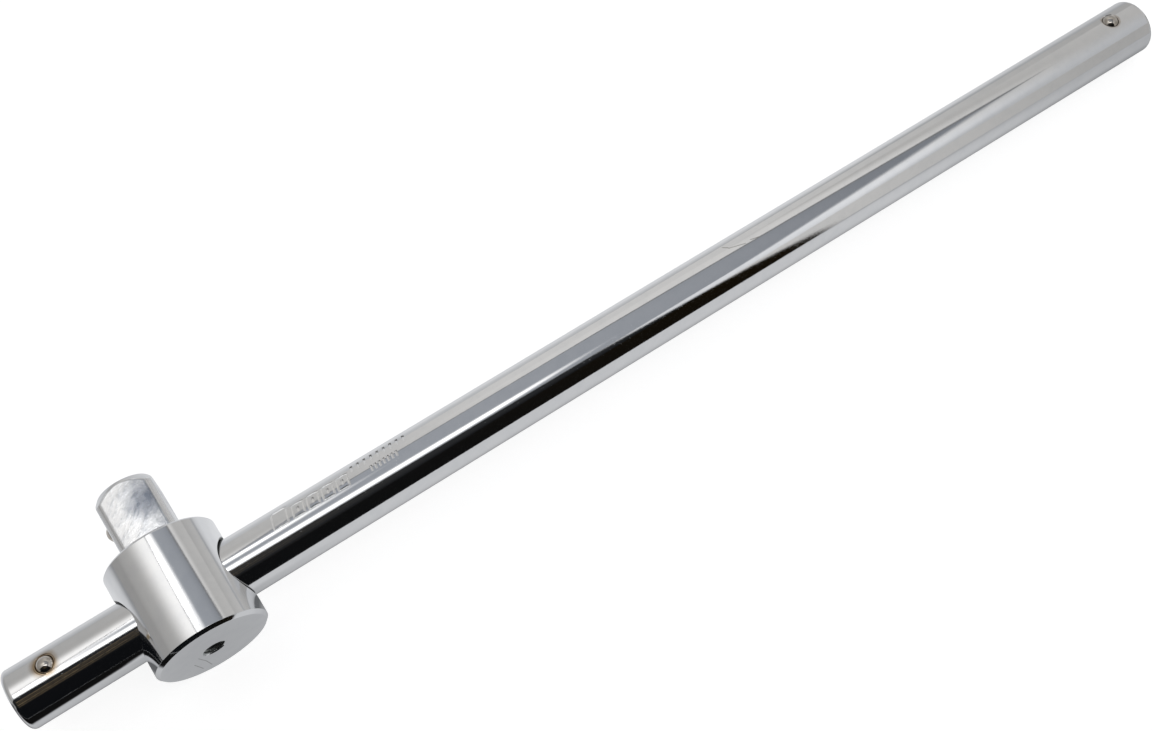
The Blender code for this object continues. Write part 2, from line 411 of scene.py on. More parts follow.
PLATED = plated_surface_group()
print("shader group:", PLATED.name)

# %% [markdown]
# Each metal is the same shader with its own colours and amounts. Its parts are kept together, so
# that wear and painted light can be laid over it later. A mirror finish has a roughness near 0.05.

# %% Metal materials


def object_mm(tree):
    """Object coordinates in millimetres."""
    place = add(tree, "ShaderNodeTexCoord").outputs["Object"]
    return add(tree, "ShaderNodeVectorMath", {0: place, "Scale": 1 / MM},
               operation="SCALE").outputs[0]


def mix_colour(tree, factor, first, second):
    """Colour between first and second."""
    node = add(tree, "ShaderNodeMix", data_type="RGBA")
    for key, value in ((0, factor), (6, first), (7, second)):
        if isinstance(value, bpy.types.NodeSocket):
            tree.links.new(value, node.inputs[key])
        else:
            node.inputs[key].default_value = value if key == 0 else (*value, 1.0)
    return node.outputs[2]


def metal(name, colour, dull, lines=(1.0, 14.0, 14.0), base=0.04, line_roughness=0.05,
          line_depth=0.004, wave_depth=0.02, wave_scale=0.05):
    """A metal whose colour drifts from colour to dull; returns its material, tree and sockets."""
    made = bpy.data.materials.new(name)
    made.use_nodes = True
    tree = made.node_tree
    shader = tree.nodes["Principled BSDF"]
    shader.inputs["Metallic"].default_value = 1.0
    place = object_mm(tree)
    effect = add(tree, "ShaderNodeGroup", node_tree=PLATED)
    fill(tree, effect, {"Position mm": place, "Line Direction": lines, "Base Roughness": base,
                        "Line Roughness": line_roughness, "Line Depth": line_depth,
                        "Wave Depth": wave_depth, "Wave Scale": wave_scale})
    drift = remap(tree, effect.outputs["Mottle"], 0.35, 0.75)
    tint = mix_colour(tree, drift, colour, dull)
    tree.links.new(tint, shader.inputs["Base Color"])
    tree.links.new(effect.outputs["Roughness"], shader.inputs["Roughness"])
    tree.links.new(effect.outputs["Normal"], shader.inputs["Normal"])
    return {"material": made, "tree": tree, "shader": shader, "place": place, "tint": tint,
            "effect": effect}


def stain(parts, centre, inner, outer, colour, strength):
    """Tint a metal around a point, fading from inner to outer distance in millimetres."""
    tree = parts["tree"]
    away = add(tree, "ShaderNodeVectorMath", {0: parts["place"], 1: tuple(c / MM for c in centre)},
               operation="DISTANCE").outputs["Value"]
    ragged = times(tree, parts["effect"].outputs["Mottle"], 1.2)
    mask = remap(tree, plus(tree, away, ragged), inner, outer, strength, 0.0)
    parts["tint"] = mix_colour(tree, mask, parts["tint"], colour)
    tree.links.new(parts["tint"], parts["shader"].inputs["Base Color"])


def away_from_line(tree, place, point, axis):
    """Distance in millimetres from a line through point along axis."""
    centre = tuple(c / MM for c in point)
    off = add(tree, "ShaderNodeVectorMath", {0: place, 1: centre}, operation="SUBTRACT").outputs[0]
    across = add(tree, "ShaderNodeVectorMath", {0: off, 1: tuple(1.0 - abs(c) for c in axis)},
                 operation="MULTIPLY").outputs[0]
    return add(tree, "ShaderNodeVectorMath", {0: across}, operation="LENGTH").outputs["Value"]


def lay_over(parts, mask, colour, roughness):
    """Tint and roughen a metal where mask is 1."""
    tree = parts["tree"]
    parts["tint"] = mix_colour(tree, mask, parts["tint"], colour)
    tree.links.new(parts["tint"], parts["shader"].inputs["Base Color"])
    rough = parts["shader"].inputs["Roughness"]
    keep = times(tree, rough.links[0].from_socket, minus(tree, 1.0, mask))
    tree.links.new(maths(tree, "MULTIPLY_ADD", mask, roughness, keep), rough)


def scratch(parts, along, across, start, end, width, where):
    """Fine dull line from start to end, both given as (along, across) in millimetres."""
    tree = parts["tree"]
    slope = (end[1] - start[1]) / (end[0] - start[0])
    line = maths(tree, "MULTIPLY_ADD", along, slope, start[1] - slope * start[0])
    off = maths(tree, "ABSOLUTE", minus(tree, across, line))
    mask = times(tree, remap(tree, off, 0.4 * width, width, 0.65, 0.0), where)
    low, high = sorted((start[0], end[0]))
    lay_over(parts, times(tree, mask, between(tree, along, low, high)), SCRATCH_GREY, 0.22)


SCRATCH_GREY = (0.40, 0.40, 0.38)
BAR_CHROME = metal("bar_plating", (0.90, 0.90, 0.905), (0.86, 0.865, 0.875))
HEAD_CHROME = metal("head_plating", (0.90, 0.903, 0.91), (0.86, 0.865, 0.88), lines=(9.0, 2.0, 9.0),
                    base=0.06, line_roughness=0.06, wave_depth=0.01)
BALL_STEEL = metal("ball_bearing_steel", (0.72, 0.68, 0.63), (0.44, 0.39, 0.33), base=0.07,
                   lines=(3.0, 3.0, 3.0), line_roughness=0.10, wave_depth=0.004, wave_scale=0.4)
SPRING_STEEL = metal("oiled_spring_wire", (0.50, 0.49, 0.47), (0.36, 0.34, 0.32), base=0.28,
                     lines=(2.0, 2.0, 2.0), line_roughness=0.15)
SCREW_STEEL = metal("blackened_screw", (0.10, 0.10, 0.105), (0.05, 0.05, 0.05), base=0.34,
                    lines=(2.0, 2.0, 2.0), line_roughness=0.12)
print("metals:", [m["material"].name for m in (BAR_CHROME, HEAD_CHROME, BALL_STEEL, SPRING_STEEL,
                                               SCREW_STEEL)])

# %% [markdown]
# ## Wear, and a painted highlight
# Round the stop balls old grease has dried to a brown ring. The rolled marks are painted brighter
# than the plate, a painted highlight, and something hard has scuffed the bar's top. Masks made from
# distances put each of these in its place, which needs no image.

# %% Wear and a painted highlight on the bar
STAIN_BROWN = (0.40, 0.27, 0.13)
# painted highlight in the rolled marks
MARK_PAINTED_HIGHLIGHT = (1.0, 1.0, 1.0)
MARKS_FROM_MM, MARKS_TO_MM = 20.0, 100.0
SCUFFS = (((206.2, 5.0), (207.8, 3.4), 0.55), ((207.5, 3.3), (213.4, 1.5), 0.28),
          ((215.4, 1.8), (218.8, 1.0), 0.28))


def bar_wear_and_painted_highlight(parts):
    """Brown rings round the stop balls, a painted highlight in the rolled marks and a scuff on top."""
    tree, place = parts["tree"], parts["place"]
    for node, reach, strength in (("short_end_ball", 6.0, 0.90), ("long_end_ball", 4.8, 0.55)):
        stain(parts, centre_of(node), 3.5, reach, STAIN_BROWN, strength)
    x, y, z = xyz(tree, place)
    skin = bar_radius / MM
    sunk = remap(tree, away_from_line(tree, place, bar_axis, (1, 0, 0)), skin - 0.10, skin - 0.02,
                 1.0, 0.0)
    in_marks = times(tree, sunk, between(tree, x, MARKS_FROM_MM, MARKS_TO_MM))
    # painted highlight: the rolled marks painted brighter than the plate
    lay_over(parts, in_marks, MARK_PAINTED_HIGHLIGHT, 0.17)
    across = minus(tree, y, bar_axis.y / MM)
    on_top = maths(tree, "GREATER_THAN", z, 5.0)
    for start, end, width in SCUFFS:
        scratch(parts, x, across, start, end, width, on_top)


bar_wear_and_painted_highlight(BAR_CHROME)
print("bar: 2 stains and", len(SCUFFS), "scuffs")

# %% [markdown]
# The bore and the inner part of its rounded mouths are painted near black, a painted shade, and the
# base hole's wall is a darker, rougher grey. The drive's flats are milled and only lightly polished.
# They are a little crowned and cloudy, with blue-grey patches that are a painted reflection of the lamp
# panel, and their corners are painted lighter, a painted highlight.

# %% Wear and painted light on the head
BORE_CLEARANCE = 0.3 * MM
DRIVE_CROWN = 0.006
# painted shade in the bore
BORE_PAINTED_SHADE = (0.05, 0.052, 0.05)
HOLE_GREY = (0.42, 0.44, 0.43)
RUST = (0.45, 0.33, 0.15)
# painted reflection of the blue-grey lamp panel, laid on the drive's flats
PAINTED_PANEL_REFLECTION = (0.29, 0.32, 0.38)
# painted highlight along the drive's corners
CORNER_PAINTED_HIGHLIGHT = (1.0, 1.0, 1.0)
BASE_SCRATCHES = (((-0.5, -5.6), (-6.5, -4.4)), ((-6.5, -4.4), (-13.0, -3.9)),
                  ((-4.0, -7.8), (-12.0, -6.6)))


def head_painted_shade_and_rust(parts):
    """Bore painted near black, a painted shade; a darker, rougher grey in the base hole; and one rust fleck where
    the bore breaks out of the side.
    """
    tree, place = parts["tree"], parts["place"]
    bore = away_from_line(tree, place, bar_axis, (1, 0, 0))
    bore_mm = (bar_radius + BORE_CLEARANCE) / MM
    # painted shade: the bore and the inner part of its rounded mouths painted near black
    lay_over(parts, remap(tree, bore, bore_mm + 0.35, bore_mm + 0.80, 1.0, 0.0), BORE_PAINTED_SHADE, 0.35)
    along = xyz(tree, place)[1]
    deep = remap(tree, along, base_y / MM + 0.1, base_y / MM + 0.4)
    hole = remap(tree, away_from_line(tree, place, (0, 0, 0), (0, 1, 0)), 4.0, 4.3, 1.0, 0.0)
    before_bore = maths(tree, "LESS_THAN", along, bar_axis.y / MM)
    lay_over(parts, times(tree, times(tree, deep, hole), before_bore), HOLE_GREY, 0.4)
    stain(parts, (-13.6 * MM, bar_axis.y - 8.2 * MM, 12.4 * MM), 0.9, 1.9, RUST, 0.8)


def base_scratches(parts):
    """Bent scratches across the base, from beside the hole to the rim."""
    x, y, z = xyz(parts["tree"], parts["place"])
    on_base = maths(parts["tree"], "LESS_THAN", y, base_y / MM + 0.05)
    for start, end in BASE_SCRATCHES:
        scratch(parts, z, x, start, end, 0.26, on_base)


def drive_finish_and_painted_light(parts):
    """The milled flats: slightly crowned, cloudy and rougher than the turned surfaces, with a painted reflection
    of the blue-grey lamp panel in patches and a painted highlight on the corners.
    """
    tree, place = parts["tree"], parts["place"]
    x, y, z = xyz(tree, place)
    across = [maths(tree, "ABSOLUTE", value) for value in (x, z)]
    side, lateral = maths(tree, "MAXIMUM", *across), maths(tree, "MINIMUM", *across)
    half = drive_half / MM
    on_drive = maths(tree, "GREATER_THAN", y, shoulder_y / MM + 0.3)
    off_flat = maths(tree, "ABSOLUTE", minus(tree, side, half))
    on_flat = times(tree, on_drive, remap(tree, off_flat, 0.03, 0.10, 1.0, 0.0))
    sideways = plus(tree, x, z)
    slant = add(tree, "ShaderNodeCombineXYZ", {
        "X": times(tree, plus(tree, y, sideways), 0.14),
        "Y": times(tree, minus(tree, y, sideways), 0.30), "Z": 0.0}).outputs[0]
    clouds = noise(tree, slant, 1.0, 7.0, 0.68)
    grain = noise(tree, place, 2.2, 4.0, 0.7)
    crown = times(tree, times(tree, lateral, lateral), -DRIVE_CROWN)
    dent = maths(tree, "MULTIPLY_ADD", clouds, 0.09, crown)
    height = times(tree, maths(tree, "MULTIPLY_ADD", grain, 0.016, dent), on_flat)
    bump = add(tree, "ShaderNodeBump", {"Height": height, "Strength": 1.0, "Distance": MM,
                                        "Normal": parts["effect"].outputs["Normal"]})
    tree.links.new(bump.outputs[0], parts["shader"].inputs["Normal"])
    spot = away_from_line(tree, place, (4.6 * MM, tip_y - 10.5 * MM, 0), (0, 0, 1))
    # painted reflection of the blue-grey lamp panel: cloudy patches and one round patch on the flats
    painted_reflection = plus(tree, remap(tree, clouds, 0.42, 0.70, 0.0, 0.42),
                remap(tree, spot, 1.0, 9.0, 0.75, -0.05))
    painted_reflection = maths(tree, "MAXIMUM", maths(tree, "MINIMUM", painted_reflection, 1.0), 0.0)
    lay_over(parts, times(tree, on_flat, painted_reflection), PAINTED_PANEL_REFLECTION, 0.30)
    # painted highlight: the drive's corners painted lighter and rougher
    corner = times(tree, on_drive, remap(tree, lateral, half - 1.5, half - 1.1))
    lay_over(parts, corner, CORNER_PAINTED_HIGHLIGHT, 0.30)


head_painted_shade_and_rust(HEAD_CHROME)
base_scratches(HEAD_CHROME)
drive_finish_and_painted_light(HEAD_CHROME)
print("head: bore, base hole,", len(BASE_SCRATCHES), "scratches and the drive's flats")

# %% [markdown]
# ## Threaded and staked holes
# A hole is cut with a body of its own shape. A tapped hole's cutter is a cylinder whose radius
# rises and falls along a helix. A ball pocket's cutter is round below, follows the ball up to a
# mouth that is narrower than the ball, and ends in the shallow ring that the staking punch leaves.

# %% Hole cutters
THREAD_PITCH = 1.25 * MM
THREAD_DEPTH = 0.45 * MM
RINGS_PER_TURN = 12
BALL_GAP = 0.2 * MM
STAKE_WIDTH = 0.5 * MM
STAKE_DEPTH = 0.25 * MM
PAST = 3.0 * MM                # how far a cutter reaches past the surface it cuts
print(f"thread {THREAD_PITCH / MM} mm pitch, staked ring {STAKE_WIDTH / MM} mm wide")


def threaded(name, radius, length, lead_in=0.0, sides=72):
    """Closed body along +Z whose round side carries a helical thread outside radius."""
    turns = np.arange(sides) / sides
    heights = np.linspace(0, length, int(length / THREAD_PITCH * RINGS_PER_TURN) + 1)
    around = circle(sides)
    rings = []
    for height in heights:
        phase = (height / THREAD_PITCH - turns) % 1.0
        ridge = np.clip(1.4 * (1 - np.abs(2 * phase - 1)) - 0.2, 0, 1)
        fade = min(1.0, height / lead_in, (length - height) / lead_in) if lead_in else 1.0
        reach = radius + THREAD_DEPTH * ridge * fade
        rings.append(np.column_stack([around * reach[:, None], np.full(sides, height)]))
    return mesh_from_rings(name, rings)


def ball_pocket(name, diameter, proud, depth, surface, direction, crown=None, sides=96):
    """Cutter of a blind ball pocket with a staked mouth at surface; direction points out of it.

    On a round part, crown is that part's radius, and the staked ring follows its curve.
    """
    wall = diameter / 2 + BALL_GAP
    centre = proud - diameter / 2
    around = circle(sides)

    def ring(radius, height):
        reach = np.reshape(radius, (-1, 1))
        return np.column_stack([around * reach, np.broadcast_to(height, sides)])

    def top(radius):
        return np.sqrt(crown**2 - (radius * around[:, 1])**2) - crown if crown else np.zeros(sides)

    lip_height = top(math.sqrt(wall**2 - (centre + STAKE_DEPTH)**2)) - STAKE_DEPTH
    lip = np.arcsin((lip_height - centre) / wall)
    foot = wall * np.cos(lip)
    rings = [ring(1e-9, -depth - 0.6 * wall), ring(wall, -depth)]
    rings += [ring(wall * np.cos(lip * f), centre + wall * np.sin(lip * f))
              for f in np.linspace(0, 1, 11)]
    for width, rise in ((0.6 * STAKE_WIDTH, 0.1), (STAKE_WIDTH, 1.08)):
        rings.append(ring(foot + width, top(foot + width) - STAKE_DEPTH * (1 - rise)))
    rings += [ring(foot + STAKE_WIDTH + 0.1 * MM, PAST), ring(1e-9, PAST)]
    return placed(mesh_from_rings(name, rings), surface, direction)


# %% [markdown]
# ## The bar
# The bar is ground stock with rounded ends, plated after the stop-ball pockets are drilled. The
# size marks are rolled in before plating, so they are shallow grooves with soft edges. They
# repeat along the bar, which is work for Geometry Nodes: a row of outlines or strokes is laid
# flat, bent round the bar and swept with a small round section to make the cutter. The section's
# middle is a little above the skin, so the grooves are wide and shallow.

# %% Rolled marks with Geometry Nodes
MARK_STEP = 0.8 * MM
GROOVE_RADIUS = 0.45 * MM
GROOVE_LIFT = 0.17 * MM


def geometry_tree(name, sizes):
    """New geometry tree with these float inputs and a material; returns it and its inputs."""
    tree = bpy.data.node_groups.new(name, "GeometryNodeTree")
    socket(tree, "Geometry", "NodeSocketGeometry", "OUTPUT")
    for size, default in sizes.items():
        socket(tree, size, "NodeSocketFloat", "INPUT", default)
    socket(tree, "Material", "NodeSocketMaterial", "INPUT")
    return tree, tree.nodes.new("NodeGroupInput").outputs


def sweep_round(tree, curve, radius, sides):
    """Round bar along a curve."""
    section = add(tree, "GeometryNodeCurvePrimitiveCircle", {"Resolution": sides, "Radius": radius})
    return add(tree, "GeometryNodeCurveToMesh", {
        "Curve": curve, "Profile Curve": section.outputs[0], "Fill Caps": True}).outputs[0]


def bent_round(tree, along, angle, radius):
    """Position at an angle round the X axis, counted from +Z."""
    return add(tree, "ShaderNodeCombineXYZ", {
        "X": along, "Y": times(tree, maths(tree, "SINE", angle), radius),
        "Z": times(tree, maths(tree, "COSINE", angle), radius)}).outputs[0]


def hand_over(tree, geometry, material):
    """Last nodes of a tree: real geometry in its material."""
    real = add(tree, "GeometryNodeRealizeInstances", {0: geometry})
    coated = add(tree, "GeometryNodeSetMaterial", {"Geometry": real.outputs[0],
                                                   "Material": material})
    tree.links.new(coated.outputs[0], tree.nodes.new("NodeGroupOutput").inputs[0])
    return tree


def mark_row_tree():
    """A row of leaning outlines or single strokes, bent round a bar that lies along X."""
    tree, given = geometry_tree("mark_row", {
        "Start": 0.0, "Pitch": 0.006, "Width": 0.004, "Height": 0.004, "Lean": 0.001, "Middle": 0.0,
        "Bar Radius": 0.01, "Groove": 0.0002})
    socket(tree, "Count", "NodeSocketInt", "INPUT", 4)
    socket(tree, "Outline", "NodeSocketBool", "INPUT", True)
    outline = add(tree, "GeometryNodeCurvePrimitiveQuadrilateral", mode="PARALLELOGRAM")
    fill(tree, outline, {"Width": given["Width"], "Height": given["Height"],
                         "Offset": given["Lean"]})
    half, lean = times(tree, given["Height"], 0.5), times(tree, given["Lean"], 0.5)
    foot = add(tree, "ShaderNodeCombineXYZ", {"X": times(tree, lean, -1.0),
                                              "Y": times(tree, half, -1.0)})
    head = add(tree, "ShaderNodeCombineXYZ", {"X": lean, "Y": half})
    stroke = add(tree, "GeometryNodeCurvePrimitiveLine", {"Start": foot.outputs[0],
                                                          "End": head.outputs[0]})
    shape = add(tree, "GeometryNodeSwitch", {"Switch": given["Outline"], "False": stroke.outputs[0],
                                             "True": outline.outputs[0]}, input_type="GEOMETRY")
    step = add(tree, "ShaderNodeCombineXYZ", {"X": given["Pitch"]})
    first = add(tree, "ShaderNodeCombineXYZ", {"X": given["Start"], "Y": given["Middle"]})
    line = add(tree, "GeometryNodeMeshLine", {
        "Count": given["Count"], "Start Location": first.outputs[0], "Offset": step.outputs[0]},
        mode="OFFSET")
    laid = add(tree, "GeometryNodeInstanceOnPoints", {"Points": line.outputs[0],
                                                      "Instance": shape.outputs[0]})
    real = add(tree, "GeometryNodeRealizeInstances", {0: laid.outputs[0]})
    fine = add(tree, "GeometryNodeResampleCurve", {"Curve": real.outputs[0], "Length": MARK_STEP},
               mode="LENGTH")
    x, y, _ = xyz(tree, add(tree, "GeometryNodeInputPosition").outputs[0])
    bent = bent_round(tree, x, maths(tree, "DIVIDE", y, given["Bar Radius"]), given["Bar Radius"])
    placed_marks = add(tree, "GeometryNodeSetPosition", {"Geometry": fine.outputs[0],
                                                         "Position": bent})
    swept = sweep_round(tree, placed_marks.outputs[0], given["Groove"], 16)
    return hand_over(tree, swept, given["Material"])


def run_nodes(name, tree, values):
    """Plain mesh made by a geometry tree with these named inputs."""
    host = bpy.data.objects.new(name, bpy.data.meshes.new(name))
    bpy.context.collection.objects.link(host)
    step = host.modifiers.new("nodes", "NODES")
    step.node_group = tree
    sockets = tree.interface.items_tree
    keys = {item.name: item.identifier for item in sockets if item.in_out == "INPUT"}
    for key, value in values.items():
        step[keys[key]] = value
    evaluated = host.evaluated_get(bpy.context.evaluated_depsgraph_get())
    mesh = bpy.data.meshes.new_from_object(evaluated)
    bpy.data.objects.remove(host)
    print(name, "has", len(mesh.polygons), "faces")
    return mesh


MARK_TREE = mark_row_tree()
MARK_ROWS = {                  # start, pitch, width, height, lean and middle in mm, then the count
    "size_frame": (36.2, 7.0, 5.0, 6.0, 1.2, 3.8, 1),
    "size_frames": (42.4, 5.25, 3.8, 4.6, 0.9, 3.1, 4),
    "inner_strokes": (42.4, 5.25, 1.0, 2.0, 0.4, 3.1, 4),
    "upper_ticks": (62.6, 2.35, 1.0, 3.0, 0.8, 6.1, 9),
    "lower_ticks": (68.0, 1.5, 1.0, 2.2, 0.3, 1.9, 7),
}
ROW_SIZES = ("Start", "Pitch", "Width", "Height", "Lean", "Middle")


def mark_cutters():
    """Meshes that cut the rolled marks."""
    made = []
    for name, (*sizes, count) in MARK_ROWS.items():
        values = {key: size * MM for key, size in zip(ROW_SIZES, sizes)}
        values.update({"Count": count, "Outline": name.startswith("size"),
                       "Bar Radius": bar_radius + GROOVE_LIFT, "Groove": GROOVE_RADIUS,
                       "Material": BAR_CHROME["material"]})
        mesh = run_nodes(name, MARK_TREE, values)
        mesh.transform(Matrix.Translation(bar_axis))
        made.append(outward_facing(mesh))
    return made


# %% [markdown]
# The pockets are measured on the ball and spring that go into them, along the way the ball moves.
# So the cutter follows if either of them changes.

# %% The bar
BAR_END_ROUNDING = 2.0 * MM
BAR_SIDES = 256


def reach_along(node, direction):
    """Lowest and highest place of a CAD node along a direction."""
    mesh = frame["nodes"][node].data
    along = [v.co.dot(direction) for v in mesh.vertices]
    return min(along), max(along)


def sprung_pocket(prefix, inward, surface_at, crown=None):
    """Cutter for the pocket of a sprung ball, measured on the ball and the spring behind it."""
    outward = -inward
    centre = centre_of(prefix + "_ball")
    diameter = width_of(prefix + "_ball")
    proud = centre.dot(outward) + diameter / 2 - surface_at
    depth = surface_at - reach_along(prefix + "_spring", outward)[0] + 0.3 * MM
    surface = centre + outward * (surface_at - centre.dot(outward))
    return ball_pocket(prefix + "_pocket", diameter, proud, depth, surface, outward, crown)


def bar_profile():
    """(radius, x) points of the bar, from its short end to its long end."""
    inset = bar_radius - BAR_END_ROUNDING
    start, end = bar_low.x, bar_high.x
    profile = [(0, start), (inset * 0.98, start)]
    profile += arc((inset, start + BAR_END_ROUNDING), BAR_END_ROUNDING, -90, 0, 12)
    profile += arc((inset, end - BAR_END_ROUNDING), BAR_END_ROUNDING, 0, 90, 12)
    return profile + [(inset * 0.98, end), (0, end)]


bar = new_piece("bar", placed(turned("bar", bar_profile(), BAR_SIDES), bar_axis, (1, 0, 0)))
pockets = []
for end in ("short_end", "long_end"):
    inward = joint_axis(end + "_ball_press")
    pockets.append(sprung_pocket(end, inward, bar_radius - bar_axis.dot(inward), bar_radius))
cut_away(bar, pockets + mark_cutters())
coat(bar, BAR_CHROME)
exact_normals(bar, [(bar_axis, (1, 0, 0), bar_radius, 1)],
              [((bar_low.x, 0, 0), (-1, 0, 0)), ((bar_high.x, 0, 0), (1, 0, 0))])

# %% [markdown]
# ## The head
# The head is turned from one blank: base, body, shoulder and a round neck whose end is coned.
# Four flats are then milled on the neck to make the square drive, which leaves the corners round
# and the tops of the flats arched. One rule gives all of it: at every height and angle the surface
# is the smaller of the turned radius and the distance to the flat, blended over a small edge
# radius. The bore, the tapped hole and the ball pocket are cut afterwards, as on the real part.

# %% Turned blank with milled flats
HEAD_SIDES = 480
BASE_CHAMFER = 1.1 * MM
SHOULDER_CHAMFER = 0.8 * MM
EDGE_EASE = 0.25 * MM
DRIVE_CORNER_CUT = 1.22 * MM
DRIVE_NECK = 0.8 * MM
DRIVE_TIP_HEIGHT = 4.3 * MM
DRIVE_TIP_DEPTH = 3.35 * MM
DRIVE_TIP_EASE = 0.8 * MM
DRIVE_EDGE_EASE = 0.45 * MM
TIP_STEP = 0.14 * MM
NECK_STEP = 1.0 * MM


def eased(points, radii, steps=5):
    """Polyline whose corners are rounded by the given radii."""
    made = [points[0]]
    for before, corner, after, radius in zip(points, points[1:], points[2:], radii):
        corner = Vector(corner)
        back = (Vector(before) - corner).normalized()
        ahead = (Vector(after) - corner).normalized()
        half = back.angle(ahead) / 2
        centre = corner + (back + ahead).normalized() * radius / math.sin(half)
        start = corner + back * radius / math.tan(half) - centre
        end = corner + ahead * radius / math.tan(half) - centre
        for i in range(steps + 1):
            made.append(tuple(centre + start.slerp(end, i / steps) * start.length))
    return made + [points[-1]]


def subdivided(points, longest):
    """Polyline with no stretch longer than longest(point)."""
    made = [points[0]]
    for a, b in zip(points, points[1:]):
        pieces = max(1, math.ceil(math.dist(a, b) / longest((a[1] + b[1]) / 2)))
        made += [tuple(np.add(a, np.subtract(b, a) * i / pieces)) for i in range(1, pieces + 1)]
    return made


def soft_min(a, b, blend):
    """Smaller of a and b, rounded where they meet."""
    mix = np.clip(0.5 + 0.5 * (b - a) / blend, 0, 1)
    return b * (1 - mix) + a * mix - blend * mix * (1 - mix)


def head_rings():
    """Rings of the head's outer surface, along its axis from base to tip."""
    corner = drive_half * math.sqrt(2) - DRIVE_CORNER_CUT
    neck_y = shoulder_y + DRIVE_NECK
    body = [(0, base_y), (head_radius - BASE_CHAMFER, base_y),
            (head_radius, base_y + BASE_CHAMFER), (head_radius, shoulder_y - SHOULDER_CHAMFER),
            (head_radius - SHOULDER_CHAMFER, shoulder_y), (corner + DRIVE_NECK, shoulder_y),
            (corner, neck_y)]
    body = eased(body, [EDGE_EASE] * 4 + [DRIVE_NECK / 2])
    neck = [(corner, neck_y), (corner, tip_y - DRIVE_TIP_HEIGHT), (corner - DRIVE_TIP_DEPTH, tip_y),
            (0, tip_y)]
    near_tip = tip_y - 1.3 * DRIVE_TIP_HEIGHT
    neck = subdivided(eased(neck, [DRIVE_TIP_EASE] * 2, 8),
                      lambda y: TIP_STEP if y > near_tip else NECK_STEP)
    around = circle(HEAD_SIDES)
    flat = drive_half / np.abs(around).max(1)
    rings = [np.column_stack([around * max(r, 1e-9), np.full(HEAD_SIDES, y)]) for r, y in body]
    for radius, y in neck:
        reach = soft_min(np.full(HEAD_SIDES, max(radius, 1e-9)), flat, DRIVE_EDGE_EASE)
        rings.append(np.column_stack([around * reach[:, None], np.full(HEAD_SIDES, y)]))
    return rings


head = new_piece("head", on_head_axis(mesh_from_rings("head", head_rings())))
print("head blank:", len(head.data.polygons), "faces")

# %% [markdown]
# The bore is reamed and the edges of its mouths are rounded over, so the bar goes in easily. From
# the base a tapped hole runs into the bore, for the set screw, and a plain pocket lies beyond it.

# %% Cut the head's holes
BORE_RADIUS = bar_radius + BORE_CLEARANCE
MOUTH_EASE = 1.0 * MM
BASE_HOLE_RADIUS = 3.5 * MM
THREAD_START = 1.13 * MM


def cross_bore(sides=192, steps=8):
    """Cutter of the bar's bore, whose mouths are rounded over where the head's side curves away."""
    bore = BORE_RADIUS + MOUTH_EASE
    turns = np.arange(sides) * math.tau / sides
    edge = np.sqrt(head_radius**2 - (bore * np.cos(turns))**2)
    half = []
    for u in np.radians(np.linspace(0, 90, steps + 1)):
        radius = bore - MOUTH_EASE * math.cos(u)
        x = edge - MOUTH_EASE * (1 - math.sin(u)) + 0.02 * MM
        half.append(np.column_stack([x, radius * np.sin(turns), radius * np.cos(turns)]))
    past = np.full(sides, head_radius + PAST)
    half.append(np.column_stack([past, bore * np.sin(turns), bore * np.cos(turns)]))
    rings = [ring * (-1, 1, 1) for ring in reversed(half)] + half
    mesh = mesh_from_rings("cross_bore", rings)
    mesh.transform(Matrix.Translation(bar_axis))
    return mesh


def base_drilling():
    """Tapped hole from the base into the bore, and the plain pocket beyond the bore."""
    hole = threaded("base_hole", BASE_HOLE_RADIUS - 0.05 * MM, head_radius)
    on_head_axis(hole, base_y - THREAD_START)
    ball_low, ball_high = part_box("friction_ball")
    radius = (ball_high.x - ball_low.x) / 2 + BALL_GAP
    start = bar_axis.y + bar_radius * 0.6
    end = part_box("friction_spring")[1].y + 0.3 * MM
    pocket = turned("friction_pocket", [(0, start), (radius, start), (radius, end),
                                        (0, end + 0.6 * radius)], 64)
    deep, out = base_y + 0.9 * MM, base_y - 0.15 * MM
    countersink = turned("base_countersink", [
        (0, deep), (BASE_HOLE_RADIUS - 0.6 * MM, deep), (BASE_HOLE_RADIUS + 0.45 * MM, out),
        (0, out)], 72)
    return [hole, on_head_axis(pocket), on_head_axis(countersink)]


drive_inward = joint_axis("drive_ball_press")
cut_away(head, [cross_bore(), *base_drilling(), sprung_pocket("drive", drive_inward, drive_half)])
coat(head, HEAD_CHROME)
head_flats = [((0, base_y, 0), (0, -1, 0)), ((0, shoulder_y, 0), (0, 1, 0)),
              ((0, tip_y, 0), (0, 1, 0))]
for direction in ((1, 0, 0), (-1, 0, 0), (0, 0, 1), (0, 0, -1)):
    head_flats.append((tuple(drive_half * c for c in direction), direction))
exact_normals(head, [((0, 0, 0), (0, 1, 0), head_radius, 1),
                     (bar_axis, (1, 0, 0), BORE_RADIUS, -1)], head_flats)

# %% [markdown]
# ## Balls, springs and the set screw
# The balls are bearing balls. Each has a small worn patch on top, where it rubs in sockets or on
# the bore. A turned profile with a flattened top gives that.

# %% Balls
WORN_DEPTH = 0.03 * MM


def steel_ball(name, node, outward):
    """A ball with a slightly worn, flatter crown on its outward side."""
    radius = width_of(node) / 2
    crown = math.degrees(math.acos(1 - WORN_DEPTH / radius))
    profile = [(0, -radius)] + arc((0, 0), radius, -87, 90 - crown, 40)
    profile += [(radius * math.sin(math.radians(crown)) * f,
                 radius - WORN_DEPTH * (1 - 0.4 * (1 - f**2))) for f in (0.75, 0.5, 0.25, 0.0)]
    mesh = placed(turned(name, profile, 72), centre_of(node), outward)
    piece = new_piece(name, mesh)
    coat(piece, BALL_STEEL)
    return piece


